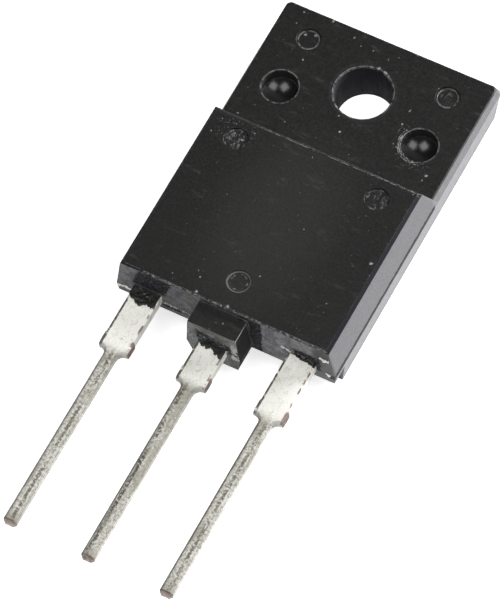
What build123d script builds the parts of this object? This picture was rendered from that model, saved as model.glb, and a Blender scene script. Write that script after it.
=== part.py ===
"""Power transistor in a fully moulded, insulated full-pack package with one screw hole.

Millimetres. The origin is the centre of the screw hole on the flat heat-sink face.
+Z points out of the marked front face, +Y from the leads towards the screw tab, and +X is
to the right when the front is seen with the leads down.
"""

import os
from math import hypot, radians, tan

from build123d import *

os.makedirs("parts", exist_ok=True)

# ---------------------------------------------------------------- driving dimensions

# Epoxy moulding, measured at the parting line of its two mould halves
body_width = 15.5
body_length = 23.0
body_thickness = 5.5
tab_thickness = 3.4
parting_height = 2.75
hole_to_top = 4.3                # screw hole centre to the top edge of the tab
hole_to_step = 5.05              # screw hole centre to the foot of the step on the tab
step_slope_deg = 25.0            # lean of the step wall from the vertical
corner_radius = 0.35             # tab corners, seen from the front

# How far the faces of each mould half draw in from the parting line
side_inset_front = 0.43
end_inset_front = 0.15
tab_inset_front = 0.20
side_inset_back = 0.35
top_inset_back = 0.25

# Broken front edges of the moulding
side_edge_break = 0.20
end_edge_break = 0.12
tab_edge_break = 0.08

# Screw hole for an M3.5 screw
hole_diameter = 3.8
hole_edge_break = 0.08

# Round blind holes left by the pins that hold the frame in the mould
dimple_diameter = 2.4
dimple_spacing = 10.0
dimple_below_hole = 1.9
dimple_floor = 0.30              # resin left between a dimple and the copper
dimple_dish = 0.45               # rise of the round bottom from its middle to the wall

# Shallow marks of the ejector pins
ejector_diameter = 1.6
ejector_depth = 0.12
ejector_spacing = 10.0
ejector_above_hole = 2.03        # pair on the tab
ejector_below_hole = 7.55        # pair at the top of the thick half
ejector_foot_below_hole = 16.5   # single mark near the leads

# Recess across the back at the lead end, which lengthens the creepage path
back_step_length = 1.35
back_step_height = 2.0

# Square post moulded round the middle lead
post_length = 1.5
post_width = 3.8                 # at the parting line
post_side_inset_front = 0.20
post_side_inset_back = 0.30
post_end_inset = 0.10
post_front_height = 5.1
post_back_height = 1.3

# Stamped copper leads and frame
lead_thickness = 0.7
lead_pitch = 5.45
lead_width = 1.95                # stiff upper part
lead_stub_width = 2.05           # at the cut tie bar
lead_stub_height = 0.95
lead_thin_width = 0.9            # part that goes into the board
lead_edge_break = 0.17           # edges of the thin part and its tip
lead_exposed_length = 17.85      # from the body's end face to the tip
lead_stiff_length = 4.55         # from the body's end face to the shoulder
shoulder_radius = 0.50
inner_pad_width = 3.0
inner_pad_length = 2.4
inner_pad_cover = 0.9            # resin between the end face and the inner pad
anchor_hole_diameter = 0.9

# Die pad, at the back of the package
pad_thickness = 1.0
pad_back_cover = 0.8             # resin under the pad, which insulates it from the heat sink
pad_side_cover = 1.55            # resin beside the pad
pad_top_above_hole = 1.6
pad_corner_radius = 0.5
screw_insulation = 1.3           # resin between the screw hole and the copper
downset_start = 1.4              # level stretch of copper on the lead's side of the downset
downset_length = 1.8
downset_flat = 0.6               # level stretch of copper on the pad's side

# Chip, solder and bond wires
die_size = 5.2
die_thickness = 0.30
die_above_pad_foot = 2.0         # from the pad's lower edge to the chip
solder_margin = 0.15
solder_thickness = 0.08
base_wire_diameter = 0.25
emitter_wire_diameter = 0.38
wire_loop_height = 0.55
wire_foot_length = 0.55
wire_bend_radius = 0.45
wire_clearance = 0.02

# ---------------------------------------------------------------- derived places

half_width = body_width / 2
dimple_radius = dimple_diameter / 2
dimple_bottom = pad_back_cover + pad_thickness + dimple_floor
dish_radius = (dimple_radius**2 + dimple_dish**2) / (2 * dimple_dish)
top_y = hole_to_top
end_y = hole_to_top - body_length
step_run = tan(radians(step_slope_deg))
front_rise = body_thickness - parting_height
step_foot_y = -hole_to_step
step_parting_y = step_foot_y + (tab_thickness - parting_height) * step_run
step_top_y = step_foot_y - (body_thickness - tab_thickness) * step_run
back_step_y = end_y + back_step_length

lead_back = parting_height
lead_front = parting_height + lead_thickness
tip_y = end_y - lead_exposed_length
shoulder_y = end_y - lead_stiff_length
inner_pad_low_y = end_y + inner_pad_cover
inner_pad_high_y = inner_pad_low_y + inner_pad_length

pad_front = pad_back_cover + pad_thickness
downset_low_y = inner_pad_low_y + downset_start
downset_high_y = downset_low_y + downset_length
pad_low_y = downset_high_y + downset_flat

solder_top = pad_front + solder_thickness
die_top = solder_top + die_thickness
die_y = pad_low_y + die_above_pad_foot + die_size / 2


def rectangle_between(x_half, y_low, y_high):
    """Rectangle centred on the YZ plane, between two Y values."""
    with Locations((0, (y_low + y_high) / 2)):
        Rectangle(2 * x_half, y_high - y_low)


def level(height, x_half, y_low, y_high):
    """Rectangular section of the moulding at one height."""
    with BuildSketch(Plane.XY.offset(height)) as section:
        rectangle_between(x_half, y_low, y_high)
    return section.sketch


def tab_level(height, side_inset, end_inset, top_inset):
    """Section of the moulding at one height, drawn in from the parting line, with tab corners."""
    with BuildSketch(Plane.XY.offset(height)) as section:
        rectangle_between(half_width - side_inset, end_y + end_inset, top_y - top_inset)
        fillet(section.vertices().group_by(Axis.Y)[-1], corner_radius)
    return section.sketch


def lead_outline():
    """Stiff upper part, tie-bar stub, shoulder and thin end of one lead, centred on X = 0."""
    rectangle_between(lead_width / 2, shoulder_y, inner_pad_low_y)
    rectangle_between(lead_stub_width / 2, shoulder_y, shoulder_y + lead_stub_height)
    rectangle_between(lead_thin_width / 2, tip_y, shoulder_y)


def at_shoulder(vertex):
    """True for the two inner corners where the thin end meets the shoulder."""
    on_shoulder = abs(vertex.Y - shoulder_y) < 0.001
    return on_shoulder and abs(abs(vertex.X) - lead_thin_width / 2) < 0.001


def on_thin_part(edge):
    """True for the edges of the thin part and its tip, which are broken up to the shoulder."""
    return edge.center().Y < shoulder_y - shoulder_radius


# ---------------------------------------------------------------- outer leads

with BuildPart() as outer_lead:
    with BuildSketch(Plane.XY.offset(lead_back)) as lead_sketch:
        lead_outline()
        fillet(lead_sketch.vertices().filter_by(at_shoulder), shoulder_radius)
        rectangle_between(inner_pad_width / 2, inner_pad_low_y, inner_pad_high_y)
        with Locations((0, inner_pad_low_y + anchor_hole_diameter)):
            Circle(anchor_hole_diameter / 2, mode=Mode.SUBTRACT)
    extrude(amount=lead_thickness)
    chamfer(outer_lead.edges().filter_by(on_thin_part), lead_edge_break)

base_lead = outer_lead.part.moved(Location((-lead_pitch, 0, 0)))
base_lead.label = "base_lead"
emitter_lead = outer_lead.part.moved(Location((lead_pitch, 0, 0)))
emitter_lead.label = "emitter_lead"

# ---------------------------------------------------------------- middle lead and die pad

with BuildPart() as collector_leadframe:
    with BuildSketch(Plane.XY.offset(lead_back)) as middle_sketch:
        lead_outline()
        fillet(middle_sketch.vertices().filter_by(at_shoulder), shoulder_radius)
    extrude(amount=lead_thickness)
    chamfer(collector_leadframe.edges().filter_by(on_thin_part), lead_edge_break)

    # Downset: the strip drops from the lead level to the pad level
    with BuildSketch(Plane.YZ):
        Polygon(
            (inner_pad_low_y, lead_back),
            (inner_pad_low_y, lead_front),
            (downset_low_y, lead_front),
            (downset_high_y, pad_front),
            (pad_low_y, pad_front),
            (pad_low_y, pad_back_cover),
            (downset_high_y, pad_back_cover),
            (downset_low_y, lead_back),
            align=None,
        )
    extrude(amount=lead_width / 2, both=True)

    # Pad, with a U-shaped cut-out that keeps the copper clear of the screw
    with BuildSketch(Plane.XY.offset(pad_back_cover)) as pad_sketch:
        rectangle_between(half_width - pad_side_cover, pad_low_y, pad_top_above_hole)
        fillet(pad_sketch.vertices(), pad_corner_radius)
        Circle(hole_diameter / 2 + screw_insulation, mode=Mode.SUBTRACT)
    extrude(amount=pad_thickness)

collector_leadframe.part.label = "collector_leadframe"

# ---------------------------------------------------------------- solder and chip

with BuildPart() as die_solder:
    with BuildSketch(Plane.XY.offset(pad_front)):
        with Locations((0, die_y)):
            RectangleRounded(die_size + 2 * solder_margin, die_size + 2 * solder_margin, solder_margin)
    extrude(amount=solder_thickness)

die_solder.part.label = "die_solder"

with BuildPart() as silicon_die:
    with BuildSketch(Plane.XY.offset(solder_top)):
        with Locations((0, die_y)):
            Rectangle(die_size, die_size)
    extrude(amount=die_thickness)

silicon_die.part.label = "silicon_die"

# ---------------------------------------------------------------- bond wires


def bond_wire(name, diameter, lead_spot, die_spot):
    """Round wire in one upright plane, from a flat foot on a lead to a flat foot on the chip."""
    lift = diameter / 2 + wire_clearance
    start = Vector(lead_spot[0], lead_spot[1], lead_front + lift)
    run_x = die_spot[0] - lead_spot[0]
    run_y = die_spot[1] - lead_spot[1]
    span = hypot(run_x, run_y)
    drop = die_top - lead_front
    upright = Plane(origin=start, x_dir=(run_x, run_y, 0), z_dir=(run_y, -run_x, 0))
    with BuildPart() as wire:
        with BuildLine(upright) as route:
            FilletPolyline(
                (0, 0),
                (wire_foot_length, 0),
                (0.4 * span, wire_loop_height),
                (span - wire_foot_length, drop),
                (span, drop),
                radius=wire_bend_radius,
            )
        with BuildSketch(Plane(origin=route.line @ 0, z_dir=route.line % 0)):
            Circle(diameter / 2)
        sweep()
    wire.part.label = name
    return wire.part


wire_spot_y = (inner_pad_low_y + inner_pad_high_y) / 2 + anchor_hole_diameter / 2
base_bond_wire = bond_wire(
    "base_bond_wire",
    base_wire_diameter,
    (-lead_pitch, wire_spot_y),
    (-0.3 * die_size, die_y - 0.3 * die_size),
)
emitter_bond_wires = [
    bond_wire(
        f"emitter_bond_wire_{number}",
        emitter_wire_diameter,
        (lead_pitch + offset * inner_pad_width, wire_spot_y),
        (0.25 * die_size + offset * die_size, die_y - 0.25 * die_size + offset * die_size),
    )
    for number, offset in ((1, -0.2), (2, 0.2))
]

# ---------------------------------------------------------------- shape of a dimple

with BuildPart() as dimple_cutter:
    with BuildSketch(Plane.XZ):
        with BuildLine():
            wall = Line((dimple_radius, tab_thickness), (dimple_radius, dimple_bottom + dimple_dish))
            RadiusArc(wall @ 1, (0, dimple_bottom), dish_radius)
            Line((0, dimple_bottom), (0, tab_thickness))
            Line((0, tab_thickness), wall @ 0)
        make_face()
    revolve(axis=Axis.Z)

# ---------------------------------------------------------------- epoxy moulding

inner_pieces = [
    base_lead,
    emitter_lead,
    collector_leadframe.part,
    die_solder.part,
    silicon_die.part,
    base_bond_wire,
    *emitter_bond_wires,
]

with BuildPart() as case:
    # Back mould half, flat on the heat sink
    loft([
        tab_level(0, side_inset_back, 0, top_inset_back),
        tab_level(parting_height, 0, 0, 0),
    ])
    # Tab side of the front mould half, with a broken front edge
    edge_inset = tab_inset_front + tab_edge_break
    loft(
        [
            tab_level(parting_height, 0, 0, 0),
            tab_level(tab_thickness - tab_edge_break, tab_inset_front, end_inset_front, tab_inset_front),
            tab_level(tab_thickness, edge_inset, end_inset_front, edge_inset),
        ],
        ruled=True,
    )

    # Thick half over the chip
    loft([
        level(parting_height, half_width, end_y, step_parting_y),
        level(body_thickness, half_width - side_inset_front, end_y + end_inset_front, step_top_y),
    ])
    front_edges = case.faces().sort_by(Axis.Z)[-1].edges()
    chamfer(front_edges.filter_by(Axis.X), end_edge_break)
    front_edges = case.faces().sort_by(Axis.Z)[-1].edges()
    chamfer(front_edges.filter_by(Axis.Y), side_edge_break)

    # Post round the middle lead
    post_end_y = end_y - post_length
    loft([
        level(parting_height, post_width / 2, post_end_y - post_end_inset, back_step_y),
        level(post_front_height, post_width / 2 - post_side_inset_front, post_end_y, back_step_y),
    ])

    # Recess across the back, then the back half of the post inside it
    with BuildSketch(Plane.XY):
        rectangle_between(body_width, end_y - post_length, back_step_y)
    extrude(amount=back_step_height, mode=Mode.SUBTRACT)
    loft([
        level(post_back_height, post_width / 2 - post_side_inset_back, post_end_y, back_step_y),
        level(parting_height, post_width / 2, post_end_y - post_end_inset, back_step_y),
    ])

    # Screw hole, with its front rim broken
    with Locations((0, 0, tab_thickness)):
        CounterSinkHole(
            radius=hole_diameter / 2,
            counter_sink_radius=hole_diameter / 2 + hole_edge_break,
            depth=tab_thickness,
            counter_sink_angle=90,
        )

    # Dimples of the frame-holding pins
    with Locations((0, -dimple_below_hole)):
        with GridLocations(dimple_spacing, 1, 2, 1):
            add(dimple_cutter.part, mode=Mode.SUBTRACT)

    # Ejector marks on the tab and on the thick half
    with BuildSketch(Plane.XY.offset(tab_thickness)):
        with Locations((0, ejector_above_hole)):
            with GridLocations(ejector_spacing, 1, 2, 1):
                Circle(ejector_diameter / 2)
    extrude(amount=-ejector_depth, mode=Mode.SUBTRACT)
    with BuildSketch(Plane.XY.offset(body_thickness)):
        with Locations((0, -ejector_below_hole)):
            with GridLocations(ejector_spacing, 1, 2, 1):
                Circle(ejector_diameter / 2)
        with Locations((0, -ejector_foot_below_hole)):
            Circle(ejector_diameter / 2)
    extrude(amount=-ejector_depth, mode=Mode.SUBTRACT)

    # The resin fills every space round the copper, the chip and the wires
    for piece in inner_pieces:
        add(piece, mode=Mode.SUBTRACT)

case.part.label = "case"

# ---------------------------------------------------------------- one file per piece

for piece in [case.part, *inner_pieces]:
    export_step(piece, f"parts/{piece.label}.step")
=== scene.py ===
"""Looks of the power transistor: camera, light, floor, and the finish and flaws of each piece."""

import random
from functools import cached_property
from math import cos, pi, radians, sin

import bmesh
import bpy
from mathutils import Matrix, Vector


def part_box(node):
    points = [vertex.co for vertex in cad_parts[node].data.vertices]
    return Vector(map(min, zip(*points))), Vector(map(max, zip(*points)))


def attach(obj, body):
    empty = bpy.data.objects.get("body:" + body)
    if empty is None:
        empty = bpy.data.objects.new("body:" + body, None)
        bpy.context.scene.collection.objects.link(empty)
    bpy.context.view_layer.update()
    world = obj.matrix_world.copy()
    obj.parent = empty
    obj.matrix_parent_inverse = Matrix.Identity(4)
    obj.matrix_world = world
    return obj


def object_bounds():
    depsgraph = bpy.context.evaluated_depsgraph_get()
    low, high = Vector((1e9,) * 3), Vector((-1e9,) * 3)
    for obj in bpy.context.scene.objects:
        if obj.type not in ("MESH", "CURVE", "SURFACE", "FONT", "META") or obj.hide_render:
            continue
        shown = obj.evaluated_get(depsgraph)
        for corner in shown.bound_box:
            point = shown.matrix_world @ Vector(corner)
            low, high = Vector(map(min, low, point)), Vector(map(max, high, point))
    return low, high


MM = 0.001

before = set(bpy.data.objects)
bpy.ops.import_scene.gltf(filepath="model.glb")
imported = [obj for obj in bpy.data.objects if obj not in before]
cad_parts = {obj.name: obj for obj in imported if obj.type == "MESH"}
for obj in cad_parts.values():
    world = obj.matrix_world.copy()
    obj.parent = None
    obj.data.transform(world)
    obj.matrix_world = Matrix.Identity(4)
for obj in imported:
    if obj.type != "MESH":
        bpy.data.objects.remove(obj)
cad_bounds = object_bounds()


def in_mm(node_name):
    """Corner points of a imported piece, in millimetres."""
    return [vertex.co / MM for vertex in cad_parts[node_name].data.vertices]


# ---------------------------------------------------------------- places, in millimetres

CASE_POINTS = in_mm("case")
FRAME_POINTS = in_mm("collector_leadframe")
LEAD_PITCH = abs(sum(corner.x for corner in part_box("base_lead"))) / 2 / MM
LEAD_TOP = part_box("base_lead")[1].z / MM
TIP_Y = min(p.y for p in in_mm("base_lead"))
BARE_LENGTH = 14.5  # From the tip to a little short of the case
LEAD_HALF = max(abs(p.x) for p in FRAME_POINTS if p.y < TIP_Y + BARE_LENGTH)
SHOULDER_Y = min(p.y for p in FRAME_POINTS if abs(p.x) > LEAD_HALF - 0.01)
HALF_WIDTH = max(p.x for p in CASE_POINTS)
FRONT_Z = max(p.z for p in CASE_POINTS)
END_Y = min(p.y for p in CASE_POINTS if abs(p.x) > 3)
STEP_Y = max(p.y for p in CASE_POINTS if p.z > FRONT_Z - 0.01)
TAB_Z = max(p.z for p in CASE_POINTS if p.y > STEP_Y + 2)
POST_Z = max(p.z for p in CASE_POINTS if p.y < END_Y - 0.1)
PARTING_Z = 2.75
MARK_DEPTH = 0.12
HOLE = (0.0, 0.0)
DIMPLE = (5.0, -1.9)
TAB_MARK = (5.0, 2.03)
BODY_MARK = (5.0, -7.55)
FOOT_MARK = (0.0, -16.5)
EJECTOR_MARKS = (TAB_MARK, BODY_MARK, FOOT_MARK)

# Pale rims of the round marks, painted glints partly also scraped: whether there is one on each side,
# centre, radius, and the range of the noise that breaks the rim up
RIM_GLINTS = [
    (True, DIMPLE, 1.22, 0.40, 0.62),
    (True, TAB_MARK, 0.67, 0.44, 0.56),
    (True, BODY_MARK, 0.70, 0.48, 0.62),
    (False, FOOT_MARK, 0.72, 0.25, 0.45),
    (False, FOOT_MARK, 0.53, 0.48, 0.60),
    (False, HOLE, 1.94, 0.42, 0.65),
]

# Pale specks, chips and painted glints on the case, on each face by its height: x, y and radius
SPECKS_AND_GLINTS = {
    TAB_Z: [
        # Along the edge of the tab
        (-6.2, 3.7, 0.12), (-6.0, 4.1, 0.15), (-4.2, 3.9, 0.13), (1.9, 4.0, 0.10),
        # Round the screw hole
        (-0.4, 1.9, 0.12), (0.1, 2.0, 0.18), (0.6, 1.9, 0.18), (0.9, 1.7, 0.14), (-0.6, -2.2, 0.07),
        # Round the right dimple
        (6.4, -3.7, 0.11), (6.3, -4.1, 0.08), (6.0, -2.3, 0.08), (5.4, -3.3, 0.07), (3.3, -1.0, 0.07),
        # Elsewhere on the tab
        (0.0, -3.2, 0.10), (3.3, 0.1, 0.07), (0.3, 2.9, 0.07), (-2.4, 3.4, 0.07), (-4.6, 0.5, 0.07),
        (-5.8, -3.8, 0.09), (-6.5, -4.8, 0.10), (-3.5, -4.1, 0.06),
    ],
    FRONT_Z: [
        # Low on the front and at its lower edge
        (6.8, -11.8, 0.15), (1.0, -15.6, 0.08), (-2.3, -17.3, 0.09), (-2.0, -18.3, 0.14),
        (0.2, -18.4, 0.16),
        # By the step
        (0.0, -6.7, 0.07), (-6.7, -7.7, 0.06), (-6.5, -6.6, 0.07), (-5.5, -6.6, 0.05),
        (-4.1, -6.7, 0.06),
    ],
    # Painted glints on the floors of the left marks
    TAB_Z - MARK_DEPTH: [(-5.4, 2.3, 0.13), (-4.7, 2.5, 0.15)],
    FRONT_Z - MARK_DEPTH: [(-4.6, -7.4, 0.13), (-5.3, -7.2, 0.08), (-5.1, -8.0, 0.06)],
    POST_Z: [(0.0, -19.5, 0.05), (0.4, -19.4, 0.06), (-0.2, -20.1, 0.05)],
}


# ---------------------------------------------------------------- colours


def grey(value):
    return (value, value, value, 1.0)


# Moulding compound, with painted sheen, shade and highlights
FRONT_BLACK = (0.0018, 0.0018, 0.0016, 1)
FRONT_GREY = (0.0070, 0.0070, 0.0065, 1)
SOFTBOX_SHEEN = (0.026, 0.026, 0.024, 1)
SCUFF_GREY = (0.035, 0.035, 0.033, 1)
DUST_GREY = grey(0.07)
DUST_PALE = grey(0.14)
WALL_SHEEN_DARK = (0.058, 0.058, 0.064, 1)
WALL_SHEEN_PALE = (0.084, 0.084, 0.091, 1)
TAB_WALL_SHEEN = (0.108, 0.108, 0.116, 1)
LOWER_WALL_SHEEN = (0.120, 0.120, 0.130, 1)
SEAM_SHADOW = grey(0.012)
END_SHEEN_PALE = (0.145, 0.145, 0.160, 1)
END_SHEEN_DARK = (0.050, 0.050, 0.054, 1)
END_RIGHT = (0.030, 0.030, 0.033, 1)
END_LOW = (0.040, 0.038, 0.030, 1)
SHADE_FLECK = (0.07, 0.07, 0.10, 1)
HOLE_WALL_SHEEN = (0.014, 0.014, 0.019, 1)
CHAMFER_DARK = (0.003, 0.003, 0.005, 1)
CHAMFER_PALE = (0.010, 0.010, 0.014, 1)

# Tin, dirt, painted shade and copper
TIN_CREAM = (0.96, 0.95, 0.88, 1)
TIN_WHITE = (1.0, 0.99, 0.94, 1)
TIN_SCRATCH = (0.60, 0.59, 0.53, 1)
TIN_GRAIN = (0.68, 0.67, 0.62, 1)
TIN_HAIR = (0.46, 0.45, 0.36, 1)
LEFT_EDGE_SHADE = (0.075, 0.07, 0.055, 1)
RIGHT_EDGE_SHADE = (0.24, 0.17, 0.14, 1)
THIN_DARK = (0.18, 0.175, 0.135, 1)
THIN_PALE = (0.56, 0.55, 0.51, 1)
THIN_PATCH = (0.22, 0.21, 0.165, 1)
CREASE_DARK = (0.055, 0.052, 0.038, 1)
TIP_DIRT = (0.17, 0.14, 0.11, 1)
TIP_RIM = (0.10, 0.09, 0.07, 1)
COPPER_DARK = (0.022, 0.012, 0.010, 1)
COPPER_RED = (0.20, 0.12, 0.10, 1)
CUT_DARK = (0.16, 0.12, 0.10, 1)
CUT_PALE = (0.46, 0.36, 0.32, 1)


# ---------------------------------------------------------------- node helpers


class Graph:
    """Node material, with short names for what its nodes do."""

    def __init__(self, name):
        self.material = bpy.data.materials.new(name)
        self.material.use_nodes = True
        self.tree = self.material.node_tree
        self.tree.nodes.clear()
        self.output = self.add("ShaderNodeOutputMaterial")
        self.here = self.place()

    def add(self, kind, **settings):
        node = self.tree.nodes.new(kind)
        for key, value in settings.items():
            setattr(node, key, value)
        return node

    def link(self, source, target):
        self.tree.links.new(source, target)

    def put(self, socket, value):
        """Links a socket, or sets the value of a constant."""
        if isinstance(value, bpy.types.NodeSocket):
            self.link(value, socket)
        else:
            socket.default_value = value

    def math(self, operation, *values):
        node = self.add("ShaderNodeMath", operation=operation)
        for socket, value in zip(node.inputs, values):
            self.put(socket, value)
        return node.outputs[0]

    def line(self, value, slope, start):
        """Start plus slope times a value."""
        return self.math("MULTIPLY_ADD", value, slope, start)

    def ripple(self, value, noise, depth):
        """A value moved up and down by a noise."""
        return self.line(noise, depth, self.math("SUBTRACT", value, depth / 2))

    def split(self, vector):
        """X, Y and Z of a vector."""
        node = self.add("ShaderNodeSeparateXYZ")
        self.link(vector, node.inputs[0])
        return node.outputs[0], node.outputs[1], node.outputs[2]

    def normal(self):
        """X, Y and Z of the way the surface faces."""
        return self.split(self.add("ShaderNodeNewGeometry").outputs["Normal"])

    def all_of(self, first, *masks):
        for mask in masks:
            first = self.math("MULTIPLY", first, mask)
        return first

    def any_of(self, first, *masks):
        for mask in masks:
            first = self.math("MAXIMUM", first, mask)
        return first

    def outside(self, mask):
        return self.math("SUBTRACT", 1.0, mask)

    def fade(self, value, low, high):
        """0 at low, 1 at high, smooth between them."""
        node = self.add("ShaderNodeMapRange", interpolation_type="SMOOTHSTEP")
        self.put(node.inputs["Value"], value)
        node.inputs["From Min"].default_value = low
        node.inputs["From Max"].default_value = high
        return node.outputs["Result"]

    def band(self, value, low, high, soft):
        """1 between low and high, else 0."""
        return self.all_of(self.fade(value, low - soft, low), self.fade(value, high + soft, high))

    def distance(self, place, centre):
        node = self.add("ShaderNodeVectorMath", operation="DISTANCE")
        self.link(place, node.inputs[0])
        node.inputs[1].default_value = centre
        return node.outputs["Value"]

    def reach(self, x, y, centre):
        """Level distance from a centre."""
        point = self.add("ShaderNodeCombineXYZ")
        self.link(x, point.inputs[0])
        self.link(y, point.inputs[1])
        return self.distance(point.outputs[0], (*centre, 0))

    def place(self, scale=(1, 1, 1)):
        """Row-frame position in millimetres, stretched by scale."""
        coordinates = self.add("ShaderNodeTexCoord")
        mapping = self.add("ShaderNodeMapping")
        mapping.inputs["Scale"].default_value = [s / MM for s in scale]
        self.link(coordinates.outputs["Object"], mapping.inputs["Vector"])
        return mapping.outputs["Vector"]

    def noise(self, place, scale, detail=3.0, roughness=0.5, distortion=0.0):
        node = self.add("ShaderNodeTexNoise")
        self.link(place, node.inputs["Vector"])
        node.inputs["Scale"].default_value = scale
        node.inputs["Detail"].default_value = detail
        node.inputs["Roughness"].default_value = roughness
        node.inputs["Distortion"].default_value = distortion
        return node.outputs["Fac"]

    def specks(self, scale, size):
        """1 inside small round specks scattered at random, else 0."""
        node = self.add("ShaderNodeTexVoronoi")
        self.link(self.here, node.inputs["Vector"])
        node.inputs["Scale"].default_value = scale
        return self.fade(node.outputs["Distance"], size, size * 0.6)

    def scale(self, colour, factor):
        """Colour times a factor."""
        node = self.add("ShaderNodeVectorMath", operation="SCALE")
        self.link(colour, node.inputs[0])
        self.put(node.inputs["Scale"], factor)
        return node.outputs[0]

    def mix(self, factor, a, b):
        node = self.add("ShaderNodeMix", data_type="RGBA")
        self.put(node.inputs[0], factor)
        self.put(node.inputs[6], a)
        self.put(node.inputs[7], b)
        return node.outputs[2]

    def cover(self, colour, mask, paint, share=1.0):
        """Colour with a share of a paint over it where the mask is 1."""
        return self.mix(self.math("MULTIPLY", mask, share), colour, paint)

    def bump(self, height, distance, strength):
        node = self.add("ShaderNodeBump")
        node.inputs["Strength"].default_value = strength
        node.inputs["Distance"].default_value = distance * MM
        self.link(height, node.inputs["Height"])
        return node.outputs["Normal"]

    def principled(self, **values):
        """Ends the material with a shader, and returns the material."""
        node = self.add("ShaderNodeBsdfPrincipled")
        for key, value in values.items():
            self.put(node.inputs[key.replace("_", " ")], value)
        self.link(node.outputs[0], self.output.inputs["Surface"])
        return self.material


# ---------------------------------------------------------------- moulding compound


class Case(Graph):
    """Material of the case, with the noises and masks that its paints share."""

    def __init__(self, name):
        super().__init__(name)
        self.x, self.y, self.z = self.split(self.here)
        self.side_x = self.math("ABSOLUTE", self.x)
        self.normal_x, self.normal_y, self.normal_z = self.normal()
        self.mottle = self.noise(self.here, 0.9, detail=6.0, roughness=0.65)
        self.ragged = self.noise(self.here, 2.6, detail=5.0, roughness=0.7)
        self.blotch = self.noise(self.here, 1.6, detail=6.0, roughness=0.75)
        self.fine = self.noise(self.here, 6.0, detail=4.0, roughness=0.8)
        self.uneven_x = self.ripple(self.x, self.fine, 0.8)
        self.uneven_z = self.ripple(self.z, self.fine, 0.8)

    def disc(self, x, centre, radius, soft=0.1):
        """1 inside an upright cylinder, else 0. With side_x for x there is one on each side."""
        return self.fade(self.reach(x, self.y, centre), radius + soft, radius)

    @cached_property
    def upright(self):
        """Walls, as against level faces."""
        return self.fade(self.math("ABSOLUTE", self.normal_z), 0.7, 0.4)

    @cached_property
    def hole(self):
        return self.disc(self.x, HOLE, 2.1)

    @cached_property
    def dimple(self):
        """Both dimples."""
        return self.disc(self.side_x, DIMPLE, 1.25)

    @cached_property
    def bowl(self):
        """Glossy part of a dimple, which faces up or toward the leads."""
        facing_up = self.fade(self.normal_z, 0.45, 0.85)
        return self.all_of(self.dimple, facing_up, self.fade(self.normal_y, 0.26, -0.14))

    @cached_property
    def marks(self):
        """The five marks of the ejector pins."""
        return self.any_of(*[self.disc(self.side_x, mark, 0.9) for mark in EJECTOR_MARKS])

    @cached_property
    def flank(self):
        """The two long side walls."""
        return self.fade(self.side_x, HALF_WIDTH - 0.50, HALF_WIDTH - 0.40)

    @cached_property
    def seam(self):
        """Wavy parting line on the side walls, painted dark as the shadow under the step between the
        mould halves.
        """
        wavy_z = self.ripple(self.z, self.ragged, 0.30)
        line = self.band(wavy_z, PARTING_Z - 0.25, PARTING_Z + 0.17, 0.06)
        return self.all_of(self.flank, line, self.fade(self.y, STEP_Y + 1.1, STEP_Y + 0.9))

    @cached_property
    def end_face(self):
        """The wall that the leads come out of."""
        return self.band(self.y, END_Y - 0.03, END_Y + 0.22, 0.03)

    @cached_property
    def end_shade(self):
        """Painted shade by the left lead, right of the post and by the right lead, for their dark
        reflections.
        """
        x, z = self.uneven_x, self.uneven_z
        slant_x = self.line(self.z, -0.30, self.math("ADD", x, 1.45))
        left = self.all_of(self.band(slant_x, -6.2, -3.9, 0.03), self.band(z, 3.75, 5.55, 0.04))
        by_post = self.all_of(self.band(x, 1.0, 2.6, 0.04), self.fade(z, 1.7, 1.9))
        right = self.all_of(self.band(x, 4.9, 6.7, 0.04), self.band(z, 2.9, 4.2, 0.04))
        return self.all_of(self.end_face, self.any_of(left, by_post, right))

    @cached_property
    def post(self):
        return self.fade(self.y, END_Y - 0.05, END_Y - 0.12)

    @cached_property
    def post_side(self):
        return self.all_of(self.post, self.fade(self.math("ABSOLUTE", self.normal_x), 0.4, 0.7))

    @cached_property
    def post_end(self):
        return self.all_of(self.post, self.fade(self.normal_y, -0.6, -0.8))

    @cached_property
    def post_blots(self):
        """Dark blots over the lead on the post's end."""
        slope_z = self.line(self.x, 0.25, self.uneven_z)
        blots = self.all_of(self.band(slope_z, 3.45, 4.30, 0.08), self.fade(self.blotch, 0.62, 0.50))
        return self.all_of(self.post_end, blots, self.fade(self.uneven_x, -1.3, -1.0))

    @cached_property
    def chamfer(self):
        """Sloped strips along the long sides of the front."""
        slope = self.band(self.normal_z, 0.60, 0.85, 0.1)
        near_front = self.fade(self.z, FRONT_Z - 0.6, FRONT_Z - 0.4)
        near_side = self.fade(self.side_x, HALF_WIDTH - 0.80, HALF_WIDTH - 0.70)
        return self.all_of(slope, near_front, near_side)

    @cached_property
    def left_chamfer(self):
        return self.all_of(self.chamfer, self.fade(self.x, 1.0, -1.0))

    @cached_property
    def step_breaks(self):
        """Stretches of the step's edge without the pale line of wear and painted highlight: scattered
        ones and its left end.
        """
        step = self.band(self.y, STEP_Y - 0.10, STEP_Y + 0.50, 0.05)
        edge = self.all_of(step, self.fade(self.side_x, HALF_WIDTH - 0.4, HALF_WIDTH - 0.6))
        edge = self.all_of(edge, self.fade(self.z, FRONT_Z - 0.25, FRONT_Z - 0.15))
        unworn = self.any_of(self.fade(self.ragged, 0.56, 0.46), self.fade(self.x, -3.8, -4.4))
        return self.all_of(edge, unworn)


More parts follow.
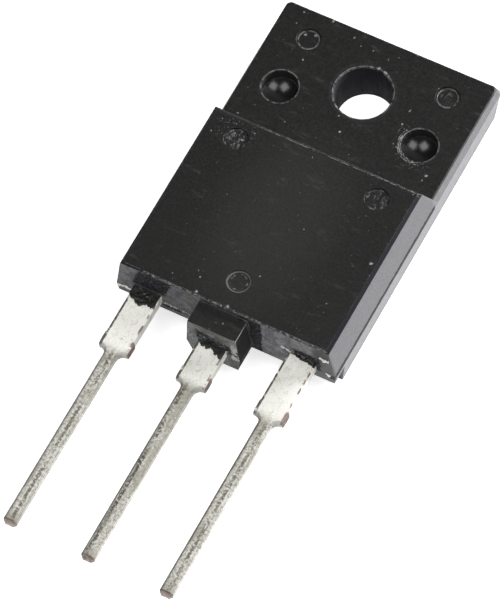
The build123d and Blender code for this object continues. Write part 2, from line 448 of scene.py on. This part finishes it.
def front_colour(g):
    """Mottled black, a painted soft-box sheen down the middle, faint scuffs, dust, dark dimples and
    hole.
    """
    colour = g.mix(g.mottle, FRONT_BLACK, FRONT_GREY)
    colour = g.scale(colour, g.math("MAXIMUM", g.line(g.fine, 8.0, -3.0), 0.1))
    # Painted sheen: the broad reflection of the soft boxes down the middle of the front
    painted_sheen = g.fade(g.distance(g.place((0.17, 0.10, 0.0)), (0.0, -1.15, 0.0)), 1.0, 0.2)
    colour = g.cover(colour, painted_sheen, SOFTBOX_SHEEN, 0.36)
    scuff = g.fade(g.noise(g.place((0.5, 1.6, 1.0)), 0.9, detail=4.0, roughness=0.7), 0.58, 0.70)
    colour = g.cover(colour, scuff, SCUFF_GREY, 0.5)
    dust = g.all_of(g.specks(2.1, 0.10), g.fade(g.ragged, 0.45, 0.55))
    colour = g.cover(colour, dust, DUST_GREY)
    colour = g.cover(colour, g.specks(0.8, 0.05), DUST_PALE)
    colour = g.cover(colour, g.dimple, g.mix(g.fine, grey(0.004), grey(0.016)))
    # The hole's wall is dark, with a dim bluish painted sheen
    return g.cover(colour, g.all_of(g.hole, g.upright), HOLE_WALL_SHEEN)


def end_colour(g):
    """Mottled grey painted sheen, paler right of the post, dark at its right end and olive below the
    leads.
    """
    colour = g.mix(g.fade(g.blotch, 0.40, 0.60), END_SHEEN_PALE, END_SHEEN_DARK)
    colour = g.scale(colour, g.line(g.fade(g.x, 1.5, 2.5), 0.60, 1.0))
    colour = g.scale(colour, g.math("MULTIPLY", g.fine, 2.0))
    colour = g.cover(colour, g.fade(g.x, 5.9, 6.6), END_RIGHT)
    low = g.all_of(g.fade(g.z, PARTING_Z, PARTING_Z - 0.1), g.fade(g.fine, 0.42, 0.58))
    return g.cover(colour, low, END_LOW, 0.8)


def wall_colour(g):
    """Outer walls greyed by a painted sheen, paler beside the tab and below the dark painted shadow of
    the parting line.
    """
    # Painted sheen of the walls seen at a slant, partly the paler rough draft faces
    colour = g.mix(g.mottle, WALL_SHEEN_DARK, WALL_SHEEN_PALE)
    colour = g.cover(colour, g.fade(g.y, STEP_Y + 0.85, STEP_Y + 0.95), TAB_WALL_SHEEN)
    lower = g.all_of(g.flank, g.fade(g.z, PARTING_Z - 0.03, PARTING_Z - 0.09))
    colour = g.cover(colour, lower, LOWER_WALL_SHEEN)
    colour = g.scale(colour, g.line(g.fine, 1.4, 0.3))
    # Painted shadow under the step between the mould halves at the parting line
    colour = g.cover(colour, g.seam, SEAM_SHADOW)
    return g.cover(colour, g.end_face, end_colour(g))


def paint_walls(g, colour):
    """Walls greyed by a painted sheen, but for the hole, dimples, marks, the post's sides and the
    painted shade.
    """
    dark = g.any_of(g.hole, g.dimple, g.end_shade, g.post_side, g.marks)
    colour = g.cover(colour, g.all_of(g.upright, g.outside(dark)), wall_colour(g))
    # Pale flecks in the painted shade on the end face
    return g.cover(colour, g.all_of(g.end_shade, g.fade(g.fine, 0.50, 0.62)), SHADE_FLECK)


def paint_post_end(g, colour):
    """Pale upper band of painted sheen, painted corner highlight, dark blots over the lead, dark foot,
    painted glints.
    """
    # Painted sheen over the post's end, as on the walls
    pale = g.mix(g.fade(g.blotch, 0.40, 0.60), grey(0.20), grey(0.07))
    colour = g.cover(colour, g.post_end, pale)
    colour = g.cover(colour, g.post_blots, grey(0.015))
    # Painted highlight on the right corner
    corner = g.all_of(g.band(g.uneven_x, 1.36, 1.80, 0.06), g.band(g.uneven_z, 2.8, 4.6, 0.2))
    corner = g.all_of(g.post_end, corner, g.fade(g.blotch, 0.42, 0.55))
    colour = g.cover(colour, corner, grey(0.55))
    foot = g.all_of(g.post_end, g.fade(g.uneven_x, 0.9, 1.2), g.fade(g.z, 2.9, 2.6))
    colour = g.cover(colour, foot, g.mix(g.fade(g.fine, 0.55, 0.62), grey(0.030), grey(0.25)))
    # Painted glints
    glint = g.all_of(g.post_end, g.band(g.z, 3.0, 4.1, 0.2), g.fade(g.fine, 0.58, 0.62))
    return g.cover(colour, glint, grey(0.60))


def paint_rim_glints(g, colour):
    """Broken pale rims of the hole, the dimples and the marks: painted glints, partly also scraped rims.
    """
    rims = []
    for both_sides, centre, radius, low, high in RIM_GLINTS:
        reach = g.reach(g.side_x if both_sides else g.x, g.y, centre)
        ring = g.band(reach, radius - 0.02, radius + 0.05, 0.04)
        rims.append(g.all_of(ring, g.fade(g.ragged, low, high)))
    return g.cover(colour, g.all_of(g.any_of(*rims), g.fade(g.normal_z, 0.2, 0.5)), grey(0.10))


def paint_scrapes(g, colour):
    """Scratches on the floors of the marks on the front, and fainter ones in the right tab mark."""
    scratches = g.fade(g.noise(g.place((1.4, 0.5, 1.0)), 4.0, detail=4.0, roughness=0.8), 0.53, 0.60)
    in_tab_mark = g.math("MULTIPLY", g.disc(g.x, TAB_MARK, 0.6), 0.5)
    marks = g.any_of(g.disc(g.side_x, BODY_MARK, 0.62), in_tab_mark)
    return g.cover(colour, g.all_of(marks, scratches), grey(0.13), 0.8)


def paint_crumbs(g, colour):
    """Tiny flecks round the lower left of the right dimple, and a few round the left body mark."""
    ring = g.band(g.reach(g.x, g.y, DIMPLE), 0.95, 1.75, 0.1)
    by_dimple = g.all_of(ring, g.fade(g.math("ADD", g.x, g.y), 3.4, 2.6))
    by_mark = g.math("MULTIPLY", g.disc(g.x, (-5.3, -6.9), 0.9, soft=1.0), 0.5)
    flecks = g.fade(g.noise(g.here, 7.0, detail=3.0, roughness=0.7), 0.60, 0.66)
    crumbs = g.all_of(g.any_of(by_dimple, by_mark), flecks)
    return g.cover(colour, crumbs, g.mix(g.ragged, grey(0.04), grey(0.26)))


def paint_specks_and_glints(g, colour):
    """Pale specks and chips, and painted glints, with ragged edges."""
    ragged_edge = g.line(g.fine, 0.5, -0.23)
    specks = []
    for height, places in SPECKS_AND_GLINTS.items():
        for x, y, radius in places:
            reach = g.math("ADD", g.distance(g.here, (x, y, height)), ragged_edge)
            specks.append(g.fade(reach, radius, radius * 0.4))
    return g.cover(colour, g.any_of(*specks), g.mix(g.ragged, grey(0.0), grey(0.42)))


def paint_edge_wear_and_highlight(g, colour):
    """Broken pale line of wear and painted highlight on all but the long edges, and a whole one along
    the post's right edge.
    """
    worn = g.fade(g.side_x, HALF_WIDTH - 0.70, HALF_WIDTH - 0.80)
    worn = g.all_of(g.fade(g.ragged, 0.38, 0.52), worn)
    worn = g.all_of(worn, g.outside(g.any_of(g.dimple, g.step_breaks, g.marks)))
    colour = g.cover(colour, worn, grey(0.15))
    # A painted highlight along the post's right edge
    post_edge = g.all_of(g.post, g.fade(g.x, 1.45, 1.55), g.fade(g.z, 4.8, 4.9))
    return g.cover(colour, post_edge, grey(0.35))


def epoxy_material(name, worn=False):
    """Matt, dusty black moulding compound, outer walls greyed by painted sheen; worn for edges, with
    painted highlights.
    """
    g = Case(name)
    colour = front_colour(g)
    for paint in (paint_walls, paint_post_end, paint_rim_glints, paint_scrapes, paint_crumbs, paint_specks_and_glints):
        colour = paint(g, colour)
    colour = g.cover(colour, g.chamfer, g.mix(g.fine, CHAMFER_DARK, CHAMFER_PALE))
    colour = g.cover(colour, g.step_breaks, grey(0.004))
    if worn:
        colour = paint_edge_wear_and_highlight(g, colour)

    steep = g.all_of(g.dimple, g.outside(g.bowl))
    rough = g.any_of(g.hole, g.post_side, g.end_shade, g.seam, g.post_blots, g.step_breaks, steep)
    rough = g.any_of(rough, g.left_chamfer)
    smooth = g.all_of(g.any_of(g.bowl, g.chamfer), g.outside(g.left_chamfer))
    grain = g.math("MULTIPLY", g.fine, g.line(g.any_of(g.dimple, g.chamfer), -0.9, 1.0))
    return g.principled(
        Base_Color=colour,
        Roughness=g.line(smooth, -0.23, g.line(rough, 0.4, 0.45)),
        IOR=1.42,
        Normal=g.bump(grain, 0.04, 0.6),
    )


def resin_material(name, dark, pale, pale_share):
    """Resin that leaked and set: lumpy, dark with pale flecks or pale with dark ones. Pale kinds are
    painted highlights.
    """
    g = Graph(name)
    lump = g.noise(g.here, 4.5, detail=4.0, roughness=0.75)
    colour = g.mix(g.fade(lump, 1.02 - pale_share, 1.10 - pale_share), dark, pale)
    return g.principled(Base_Color=colour, Roughness=0.4, IOR=1.5, Normal=g.bump(lump, 0.03, 0.6))


# ---------------------------------------------------------------- tinned copper


class Lead(Graph):
    """Material of the leads, with the noises that its parts share."""

    def __init__(self, name):
        super().__init__(name)
        self.x, self.y, _ = self.split(self.here)
        self.normal_x, self.normal_y, self.normal_z = self.normal()
        self.local = self.math("WRAP", self.x, LEAD_PITCH / 2, -LEAD_PITCH / 2)
        self.outer_lead = self.math("GREATER_THAN", self.math("ABSOLUTE", self.x), LEAD_PITCH / 2)
        self.grain = self.noise(self.here, 9.0, detail=4.0, roughness=0.7)
        self.broken = self.noise(self.here, 1.7, detail=4.0, roughness=0.6)
        self.speckle = self.noise(self.here, 5.5, detail=4.0, roughness=0.75)


def wide_tin(g):
    """White matt tin on the stiff part, greyed by painted shade toward the shoulder and the right, with
    scratches.
    """
    cloud = g.noise(g.here, 0.8, detail=5.0, roughness=0.6)
    colour = g.mix(g.fade(cloud, 0.35, 0.65), TIN_CREAM, TIN_WHITE)
    scratch = g.fade(g.noise(g.place((1.6, 0.6, 1.0)), 3.0, detail=4.0, roughness=0.7), 0.56, 0.66)
    colour = g.cover(colour, scratch, TIN_SCRATCH, 0.45)
    colour = g.cover(colour, g.fade(g.grain, 0.55, 0.68), TIN_GRAIN, 0.5)
    # Painted shade toward the shoulder and toward the right, evening out where the lamps light more
    colour = g.scale(colour, g.line(g.fade(g.y, END_Y - 1.5, SHOULDER_Y + 0.5), -0.17, 1.0))
    colour = g.scale(colour, g.line(g.fade(g.x, -5.0, 5.0), -0.14, 1.0))
    contour = g.math("SUBTRACT", g.noise(g.here, 1.9, detail=2.0, distortion=0.8), 0.5)
    hairs = g.all_of(g.fade(g.math("ABSOLUTE", contour), 0.016, 0.004), g.fade(g.broken, 0.36, 0.52))
    return g.cover(colour, hairs, TIN_HAIR, 0.70)


def paint_edge_shade_lines(g, colour):
    """Broken wavy lines of painted shade along the edges of the stiff part, dark on the left, brown on
    the right.
    """
    wavy = g.ripple(g.local, g.grain, 0.16)
    left = g.all_of(g.fade(wavy, -LEAD_HALF + 0.22, -LEAD_HALF + 0.17), g.fade(g.broken, 0.34, 0.48))
    right = g.all_of(g.fade(wavy, LEAD_HALF - 0.20, LEAD_HALF - 0.15), g.fade(g.broken, 0.44, 0.54))
    lines = g.all_of(g.any_of(left, right), g.fade(g.normal_z, 0.1, 0.3))
    return g.cover(colour, lines, g.mix(g.fade(g.local, -0.2, 0.2), LEFT_EDGE_SHADE, RIGHT_EDGE_SHADE))


def thin_tin(g):
    """Speckled grey tin on the thin end, darker on its left, with a gritty dark crease; painted shade
    and highlight.
    """
    colour = g.mix(g.fade(g.speckle, 0.34, 0.62), THIN_DARK, THIN_PALE)
    patch = g.noise(g.place((1.3, 0.4, 1.0)), 1.0, detail=4.0, roughness=0.6)
    colour = g.cover(colour, g.fade(patch, 0.46, 0.60), THIN_PATCH, 0.6)
    off_crease = g.math("SUBTRACT", g.ripple(g.local, g.broken, 0.16), g.line(g.outer_lead, 0.24, -0.13))
    gaps = g.fade(g.noise(g.place((1, 0.5, 1)), 1.6), 0.30, 0.50)
    crease = g.all_of(g.band(off_crease, -0.08, 0.08, 0.07), gaps)
    crease = g.all_of(crease, g.line(g.outer_lead, -0.25, 1.0), g.fade(g.speckle, 0.62, 0.48))
    colour = g.cover(colour, crease, CREASE_DARK)
    colour = g.scale(colour, g.line(g.outer_lead, 0.04, 0.96))
    colour = g.scale(colour, g.line(g.fade(g.local, -0.05, -0.36), -0.28, 1.0))

    # Painted shade on the broken edges and a painted highlight on the right side
    shade = 1.0
    for low, high, change in ((-0.30, -0.60, -0.25), (0.30, 0.60, -0.35), (0.80, 0.95, 0.45)):
        shade = g.line(g.fade(g.normal_x, low, high), change, shade)
    return g.scale(colour, shade)


def paint_cuts(g, colour):
    """Bare copper at the cropped tip, above it dirt and a dark line, and at the cut tie bars."""
    rust = g.noise(g.here, 3.0, detail=4.0, roughness=0.7)
    tie_bar = g.fade(g.math("ABSOLUTE", g.local), LEAD_HALF - 0.04, LEAD_HALF - 0.01)
    stub = g.all_of(g.fade(g.math("ABSOLUTE", g.normal_x), 0.5, 0.8), tie_bar)
    dirt = g.all_of(g.fade(g.y, TIP_Y + 1.1, TIP_Y + 0.3), g.fade(g.speckle, 0.42, 0.54))
    rim = g.all_of(g.band(g.y, TIP_Y + 0.14, TIP_Y + 0.24, 0.04), g.fade(g.broken, 0.30, 0.50))
    tip = g.all_of(g.fade(g.normal_y, -0.5, -0.8), g.fade(g.y, TIP_Y + 0.3, TIP_Y + 0.2))
    colour = g.cover(colour, dirt, TIP_DIRT, 0.6)
    colour = g.cover(colour, rim, TIP_RIM)
    colour = g.cover(colour, stub, g.mix(g.fade(rust, 0.42, 0.60), COPPER_DARK, COPPER_RED))
    return g.cover(colour, tip, g.mix(g.fade(rust, 0.35, 0.55), CUT_DARK, CUT_PALE))


def tin_material():
    """Dull tin over copper: white on the wide part, grey on the thin end, bare where it was cut."""
    g = Lead("tinned_copper")
    wide = paint_edge_shade_lines(g, wide_tin(g))
    colour = g.cover(wide, g.fade(g.y, SHOULDER_Y + 0.5, SHOULDER_Y - 0.5), thin_tin(g))
    colour = paint_cuts(g, colour)
    bump = g.bump(g.grain, 0.012, 0.5)
    return g.principled(Base_Color=colour, Metallic=0.1, Roughness=0.55, Normal=bump)


# ---------------------------------------------------------------- other materials


def plain_material(name, colour, metallic, roughness):
    """Finish of a sealed inner piece, with a slight grain."""
    g = Graph(name)
    shade = g.mix(g.noise(g.here, 5.0), [c * 0.85 for c in colour] + [1], list(colour) + [1])
    return g.principled(Base_Color=shade, Metallic=metallic, Roughness=roughness)


def floor_material():
    """Pale floor that the camera and the reflections see as white, with a faint shadow."""
    camera_glow, glossy_white = 0.75, grey(1.4)
    g = Graph("floor")
    tone = g.mix(g.noise(g.here, 0.05), grey(0.80), grey(0.82))
    light_path = g.add("ShaderNodeLightPath")
    tone = g.mix(light_path.outputs["Is Glossy Ray"], tone, glossy_white)
    base = g.add("ShaderNodeBsdfDiffuse")
    g.link(tone, base.inputs["Color"])
    glow = g.add("ShaderNodeEmission")
    g.link(g.math("MULTIPLY", light_path.outputs["Is Camera Ray"], camera_glow), glow.inputs["Strength"])
    both = g.add("ShaderNodeAddShader")
    g.link(base.outputs[0], both.inputs[0])
    g.link(glow.outputs[0], both.inputs[1])
    g.link(both.outputs[0], g.output.inputs["Surface"])
    return g.material


# ---------------------------------------------------------------- camera, floor and light


def make_camera():
    """Camera above the front-right of the leads, slightly rolled."""
    azimuth, elevation, roll = radians(35.05), radians(61.27), radians(7.91)
    distance = 308.2 * MM
    target = Vector((0.378, -16.128, 2.75)) * MM
    back = Vector((sin(azimuth) * cos(elevation), -cos(azimuth) * cos(elevation), sin(elevation)))
    data = bpy.data.cameras.new("camera")
    data.lens = 296.0
    data.sensor_width = 36.0
    data.clip_start = 0.01
    camera = bpy.data.objects.new("camera", data)
    bpy.context.scene.collection.objects.link(camera)
    turn = back.to_track_quat("Z", "Y").to_matrix() @ Matrix.Rotation(-roll, 3, "Z")
    camera.matrix_world = Matrix.Translation(target + back * distance) @ turn.to_4x4()
    bpy.context.scene.camera = camera


def make_floor():
    bpy.ops.mesh.primitive_plane_add(size=2.0, location=(0, 0, cad_bounds[0].z))
    floor = bpy.context.object
    floor.name = "floor"
    floor.data.materials.append(floor_material())


def area_light(name, direction, size, power):
    """Rectangular lamp half a metre off in a direction, facing the body."""
    distance, target = 0.5, Vector((0, -0.008, 0.003))
    data = bpy.data.lights.new(name, "AREA")
    data.shape = "RECTANGLE"
    data.size, data.size_y = size
    data.energy = power
    light = bpy.data.objects.new(name, data)
    bpy.context.scene.collection.objects.link(light)
    back = Vector(direction).normalized()
    light.location = target + back * distance
    light.rotation_mode = "QUATERNION"
    light.rotation_quaternion = back.to_track_quat("Z", "Y")


def make_world():
    """Studio with pale walls and a dark ceiling; the camera sees plain white."""
    wall_glow, ceiling_glow = 0.6, 0.07
    world = bpy.data.worlds.new("world")
    bpy.context.scene.world = world
    world.use_nodes = True
    nodes, links = world.node_tree.nodes, world.node_tree.links
    background = nodes["Background"]
    direction = nodes.new("ShaderNodeTexCoord")
    split = nodes.new("ShaderNodeSeparateXYZ")
    ramp = nodes.new("ShaderNodeMapRange")
    ramp.inputs["From Min"].default_value = 0.05
    ramp.inputs["From Max"].default_value = 0.75
    ramp.inputs["To Min"].default_value = wall_glow
    ramp.inputs["To Max"].default_value = ceiling_glow
    camera_ray = nodes.new("ShaderNodeLightPath")
    strength = nodes.new("ShaderNodeMath")
    strength.operation = "MAXIMUM"
    links.new(direction.outputs["Generated"], split.inputs[0])
    links.new(split.outputs["Z"], ramp.inputs["Value"])
    links.new(ramp.outputs["Result"], strength.inputs[0])
    links.new(camera_ray.outputs["Is Camera Ray"], strength.inputs[1])
    links.new(strength.outputs[0], background.inputs["Strength"])


def make_light():
    """Two soft boxes, which the dimples mirror, and a stronger lamp for the right-hand walls."""
    make_world()
    area_light("softbox_right", (0.53, 0.02, 0.85), (0.25, 0.25), 1.2)
    area_light("softbox_top", (-0.18, -0.28, 0.94), (0.25, 0.25), 1.2)
    area_light("key_side", (0.58, 0.78, 0.38), (0.25, 0.20), 5.0)


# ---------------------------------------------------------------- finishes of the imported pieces

FINISHES = {
    "case": epoxy_material("epoxy"),
    "base_lead": tin_material(),
    "silicon_die": plain_material("silicon", (0.12, 0.12, 0.14), 0.2, 0.15),
    "die_solder": plain_material("solder", (0.5, 0.5, 0.51), 0.9, 0.45),
    "base_bond_wire": plain_material("bond_wire", (0.8, 0.8, 0.81), 1.0, 0.35),
}
FINISHES["emitter_lead"] = FINISHES["collector_leadframe"] = FINISHES["base_lead"]
FINISHES["emitter_bond_wire_1"] = FINISHES["emitter_bond_wire_2"] = FINISHES["base_bond_wire"]
WORN_EDGE_AND_HIGHLIGHT = epoxy_material("epoxy_edge", worn=True)
DARK_RESIN = resin_material("dark_resin", (0.006, 0.006, 0.005, 1), grey(0.12), 0.40)
# Pale and white resin: ledges and bits whose paleness is a painted highlight
PALE_RESIN_GLINT = resin_material("pale_resin_glint", (0.03, 0.03, 0.026, 1), (0.42, 0.41, 0.37, 1), 0.62)
WHITE_RESIN_GLINT = resin_material("white_resin_glint", (0.10, 0.10, 0.09, 1), (0.80, 0.79, 0.75, 1), 0.72)
GREY_RESIN = resin_material("grey_resin", (0.015, 0.015, 0.013, 1), (0.12, 0.12, 0.11, 1), 0.60)


def round_edges(node):
    """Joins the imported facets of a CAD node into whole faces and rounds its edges."""
    weld = node.modifiers.new("weld", "WELD")
    weld.merge_threshold = 0.001 * MM
    flat = node.modifiers.new("flat", "DECIMATE")
    flat.decimate_type = "DISSOLVE"
    flat.angle_limit = radians(0.5)
    bevel = node.modifiers.new("bevel", "BEVEL")
    bevel.width = 0.05 * MM
    bevel.segments = 2
    bevel.angle_limit = radians(20)
    bevel.harden_normals = True
    bevel.miter_outer = "MITER_ARC"
    return bevel


# ---------------------------------------------------------------- resin flash


def add_resin(name, shape, material):
    """Makes a bmesh of leaked resin into a piece of the object."""
    mesh = bpy.data.meshes.new(name)
    bmesh.ops.recalc_face_normals(shape, faces=shape.faces)
    shape.to_mesh(mesh)
    shape.free()
    mesh.materials.append(material)
    piece = bpy.data.objects.new(name, mesh)
    bpy.context.scene.collection.objects.link(piece)
    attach(piece, "root")


def inside(x, y, outline):
    """Whether a point is inside a closed outline."""
    odd = False
    for (x1, y1), (x2, y2) in zip(outline, outline[1:] + outline[:1]):
        if (y1 > y) != (y2 > y) and x < x1 + (y - y1) / (y2 - y1) * (x2 - x1):
            odd = not odd
    return odd


def flash(name, outline, height, seed):
    """Thin lumpy film of resin on the top of a lead, inside an outline, down to the lead."""
    rng = random.Random(seed)
    cell = 0.07
    shape = bmesh.new()
    left, right = min(x for x, _ in outline), max(x for x, _ in outline)
    front, back = min(y for _, y in outline), max(y for _, y in outline)
    corners = {}

    def corner(i, j):
        if (i, j) not in corners:
            x = left + i * cell + rng.gauss(0, cell * 0.15)
            y = front + j * cell + rng.gauss(0, cell * 0.15)
            z = LEAD_TOP + height * rng.uniform(0.35, 1.0)
            corners[i, j] = shape.verts.new(Vector((x, y, z)) * MM)
        return corners[i, j]

    for i in range(round((right - left) / cell)):
        for j in range(round((back - front) / cell)):
            if inside(left + (i + 0.5) * cell, front + (j + 0.5) * cell, outline):
                shape.faces.new((corner(i, j), corner(i + 1, j), corner(i + 1, j + 1), corner(i, j + 1)))
    rim = [edge for edge in shape.edges if edge.is_boundary]
    for element in bmesh.ops.extrude_edge_only(shape, edges=rim)["geom"]:
        if isinstance(element, bmesh.types.BMVert):
            element.co.z = (LEAD_TOP - 0.01) * MM
    for face in shape.faces:
        face.smooth = True
    add_resin(name, shape, DARK_RESIN)


def walk(path, step):
    """Points about a step apart along a path of millimetre points, and the way it goes there."""
    for start, end in zip(path, path[1:]):
        start, end = Vector(start), Vector(end)
        count = max(1, round((end - start).length / step))
        for i in range(count):
            yield start.lerp(end, i / count), (end - start).normalized()
    yield end, (end - start).normalized()


def bead(name, material, size, seed, path):
    """Ragged bead of resin along a path, up to a size thick and below the front."""
    rng = random.Random(seed)
    sides, step = 6, 0.09
    highest = FRONT_Z - 0.005
    shape = bmesh.new()
    rings = []
    for point, forward in walk(path, step):
        radius = size / 2 * rng.uniform(0.15, 1.0)
        wobble = Vector([rng.gauss(0, size * 0.12) for _ in range(3)])
        side = forward.cross(Vector((0.3, 0.2, 1.0))).normalized()
        up = side.cross(forward)
        turns = [i * 2 * pi / sides + rng.uniform(0, 0.5) for i in range(sides)]
        ring = [point + wobble + (side * cos(a) + up * sin(a)) * radius for a in turns]
        rings.append([shape.verts.new(Vector((p.x, p.y, min(p.z, highest))) * MM) for p in ring])
    for first, second in zip(rings, rings[1:]):
        for i in range(sides):
            shape.faces.new((first[i - 1], first[i], second[i], second[i - 1]))
    shape.faces.new(rings[0])
    shape.faces.new(rings[-1])
    add_resin(name, shape, material)


def arc(centre, radius, height, start, end):
    """Path along a circle on a level face, between two angles in degrees."""
    steps = 12
    angles = [radians(start + (end - start) * i / steps) for i in range(steps + 1)]
    return [(centre[0] + radius * cos(a), centre[1] + radius * sin(a), height) for a in angles]


def make_lead_flash():
    """Dark films on the leads where they leave the body, with ragged lower edges."""
    left = [(-6.42, -18.62), (-6.42, -19.30), (-6.24, -19.55), (-5.95, -19.58), (-5.76, -19.80)]
    left += [(-5.43, -19.87), (-5.24, -19.70), (-5.07, -19.62), (-4.75, -19.70), (-4.54, -19.68)]
    left += [(-4.54, -19.28), (-4.52, -18.62)]
    middle = [(-1.00, -20.05), (-0.98, -20.38), (-0.80, -20.42), (-0.62, -20.66), (-0.40, -20.58)]
    middle += [(-0.22, -20.74), (0.02, -20.52), (0.22, -20.62), (0.40, -20.86), (0.62, -20.78)]
    middle += [(0.78, -20.98), (0.97, -20.92), (0.97, -20.05)]
    right = [(4.90, -18.60), (5.10, -18.72), (5.55, -18.80), (6.00, -18.84), (6.42, -18.94)]
    right += [(6.42, -18.60)]
    flash("flash_on_base_lead", left, 0.09, 1)
    flash("flash_on_collector_lead", middle, 0.10, 2)
    flash("flash_on_emitter_lead", right, 0.10, 3)


def make_beads():
    """Beads and crumbs of resin, white and pale ones painted highlights: name, material, thickness, seed
    and path of each one.
    """
    line_z = PARTING_Z + 0.03
    edge_z = FRONT_Z - 0.05
    post_end_y = END_Y - 1.42
    beads = [
        # On the walls above and beside the leads
        ("bead_over_emitter_lead", GREY_RESIN, 0.24, 4,
         [(5.10, -18.66, 3.85), (5.80, -18.67, 3.75), (6.46, -18.68, 3.30)]),
        ("bead_beside_collector_lead", DARK_RESIN, 0.20, 5,
         [(0.95, -20.15, 3.30), (1.60, -20.12, 2.95)]),
        # Along the parting line and over the leads; the white and pale ledges are painted highlights
        ("ledge_left", WHITE_RESIN_GLINT, 0.26, 6,
         [(-7.66, END_Y, line_z - 0.08), (-6.60, END_Y, line_z - 0.05)]),
        ("ledge_middle", PALE_RESIN_GLINT, 0.17, 7,
         [(-4.44, END_Y, line_z + 0.12), (-2.20, END_Y, line_z + 0.02)]),
        ("blots_by_base_lead", DARK_RESIN, 0.24, 18,
         [(-4.40, END_Y, line_z - 0.22), (-3.10, END_Y, line_z - 0.20)]),
        ("ledge_right", WHITE_RESIN_GLINT, 0.26, 8,
         [(6.66, END_Y + 0.05, 4.50), (7.35, END_Y + 0.05, 4.48)]),
        ("blob_at_corner", WHITE_RESIN_GLINT, 0.22, 21,
         [(7.10, END_Y + 0.02, 2.95), (7.42, END_Y + 0.02, 2.75)]),
        ("ledge_by_emitter_lead", WHITE_RESIN_GLINT, 0.20, 9,
         [(4.00, END_Y + 0.03, 3.92), (4.66, END_Y + 0.03, 3.70)]),
        # On the post's end; its pale and white beads are painted highlights
        ("ledge_on_post", PALE_RESIN_GLINT, 0.16, 10,
         [(-1.25, post_end_y, 3.85), (-0.65, post_end_y - 0.01, 3.62)]),
        ("rim_of_post", WHITE_RESIN_GLINT, 0.22, 20,
         [(1.55, post_end_y, 4.30), (1.48, post_end_y, 3.10)]),
        ("glints_on_post", PALE_RESIN_GLINT, 0.10, 19,
         [(-0.50, post_end_y - 0.02, 3.50), (1.30, post_end_y - 0.02, 3.46)]),
        # Along the front edge at the lead end and along the step
        ("bead_on_end_edge", GREY_RESIN, 0.16, 11,
         [(-5.70, END_Y + 0.20, edge_z), (7.20, END_Y + 0.20, edge_z)]),
        ("bead_on_step", GREY_RESIN, 0.13, 12,
         [(3.90, STEP_Y + 0.02, edge_z), (6.90, STEP_Y + 0.02, edge_z)]),
        # Round the right dimple and in the right tab mark; the pale glints are painted highlights
        ("rim_of_dimple", GREY_RESIN, 0.10, 13, arc(DIMPLE, 1.24, TAB_Z, 140, 300)),
        ("crumbs_by_dimple", GREY_RESIN, 0.08, 16, arc(DIMPLE, 1.42, TAB_Z, 150, 290)),
        ("glints_by_dimple", PALE_RESIN_GLINT, 0.05, 17, arc(DIMPLE, 1.32, TAB_Z, 170, 280)),
        ("rim_of_tab_mark", GREY_RESIN, 0.08, 14, arc(TAB_MARK, 0.70, TAB_Z - 0.11, 60, 280)),
    ]
    for name, material, size, seed, path in beads:
        bead(name, material, size, seed, path)


# ---------------------------------------------------------------- scene

for node_name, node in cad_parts.items():
    node.data.materials.clear()
    node.data.materials.append(FINISHES[node_name])

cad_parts["case"].data.materials.append(WORN_EDGE_AND_HIGHLIGHT)
round_edges(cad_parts["case"]).material = 1
for node_name in ("base_lead", "collector_leadframe", "emitter_lead"):
    round_edges(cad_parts[node_name])

make_lead_flash()
make_beads()
make_camera()
make_floor()
make_light()
bpy.context.scene.view_settings.view_transform = "Standard"
